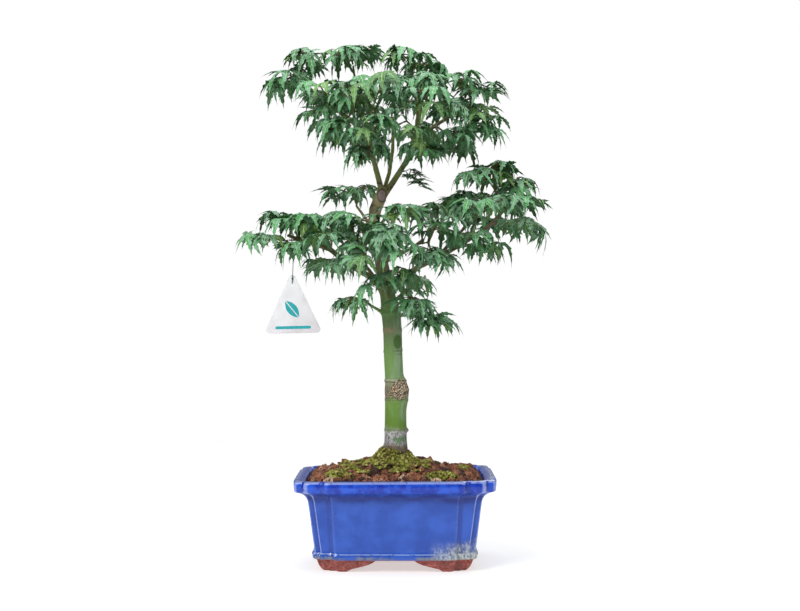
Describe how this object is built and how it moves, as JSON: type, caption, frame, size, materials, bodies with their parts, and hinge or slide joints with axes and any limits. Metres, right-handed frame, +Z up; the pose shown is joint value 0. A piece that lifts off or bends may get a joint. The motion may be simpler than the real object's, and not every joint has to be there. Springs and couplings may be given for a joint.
{
  "type": "bonsai tree in a pot",
  "caption": "Small maple bonsai with drooping cut leaves, a green trunk, moss and lava gravel in a blue glazed rectangular pot, with a hanging tag.",
  "frame": {"origin": "on the ground under the middle of the pot, which is also the middle of the whole object's box", "axes": "+X along the pot's long side, -Y is the front the tree is shown from, +Z up along the trunk"},
  "size_m": [0.2573, 0.1904, 0.4316],
  "materials": {
    "blue_glaze": "glossy cobalt blue ceramic glaze over red clay, bare clay on the feet",
    "lava_soil": "matte red-brown lava granules",
    "moss": "matte olive moss",
    "green_bark": "smooth green bark with grey patches",
    "maple_leaf": "satin green leaves with pale midribs",
    "tag_plastic": "pale translucent plastic with a teal mark",
    "thread": "dark twisted thread",
    "black_plastic": "black plastic mesh",
    "galvanised_wire": "dull zinc wire"
  },
  "bodies": {
    "root": {"drain_screen_left": "black_plastic", "drain_screen_right": "black_plastic", "moss_mound": "moss", "moss_patch_1": "moss", "moss_patch_2": "moss", "moss_patch_3": "moss", "moss_patch_4": "moss", "pot": "blue_glaze", "screen_clip_left": "galvanised_wire", "screen_clip_right": "galvanised_wire", "soil": "lava_soil", "spray_centre_01": "maple_leaf", "spray_centre_02": "maple_leaf", "spray_centre_03": "maple_leaf", "spray_centre_04": "maple_leaf", "spray_crown_01": "maple_leaf", "spray_crown_02": "maple_leaf", "spray_crown_03": "maple_leaf", "spray_crown_04": "maple_leaf", "spray_crown_05": "maple_leaf", "spray_crown_06": "maple_leaf", "spray_crown_07": "maple_leaf", "spray_crown_08": "maple_leaf", "spray_crown_09": "maple_leaf", "spray_crown_10": "maple_leaf", "spray_crown_11": "maple_leaf", "spray_crown_12": "maple_leaf", "spray_crown_13": "maple_leaf", "spray_crown_14": "maple_leaf", "spray_crown_15": "maple_leaf", "spray_crown_16": "maple_leaf", "spray_crown_17": "maple_leaf", "spray_crown_18": "maple_leaf", "spray_crown_19": "maple_leaf", "spray_crown_20": "maple_leaf", "spray_left_01": "maple_leaf", "spray_left_02": "maple_leaf", "spray_left_03": "maple_leaf", "spray_left_04": "maple_leaf", "spray_left_05": "maple_leaf", "spray_left_06": "maple_leaf", "spray_low_01": "maple_leaf", "spray_low_02": "maple_leaf", "spray_low_03": "maple_leaf", "spray_low_04": "maple_leaf", "spray_low_05": "maple_leaf", "spray_right_01": "maple_leaf", "spray_right_02": "maple_leaf", "spray_right_03": "maple_leaf", "spray_right_04": "maple_leaf", "spray_right_05": "maple_leaf", "spray_right_06": "maple_leaf", "spray_right_07": "maple_leaf", "spray_right_08": "maple_leaf", "tag": "tag_plastic", "tag_thread": "thread", "trunk_and_branches": "green_bark"}
  },
  "joints": []
}
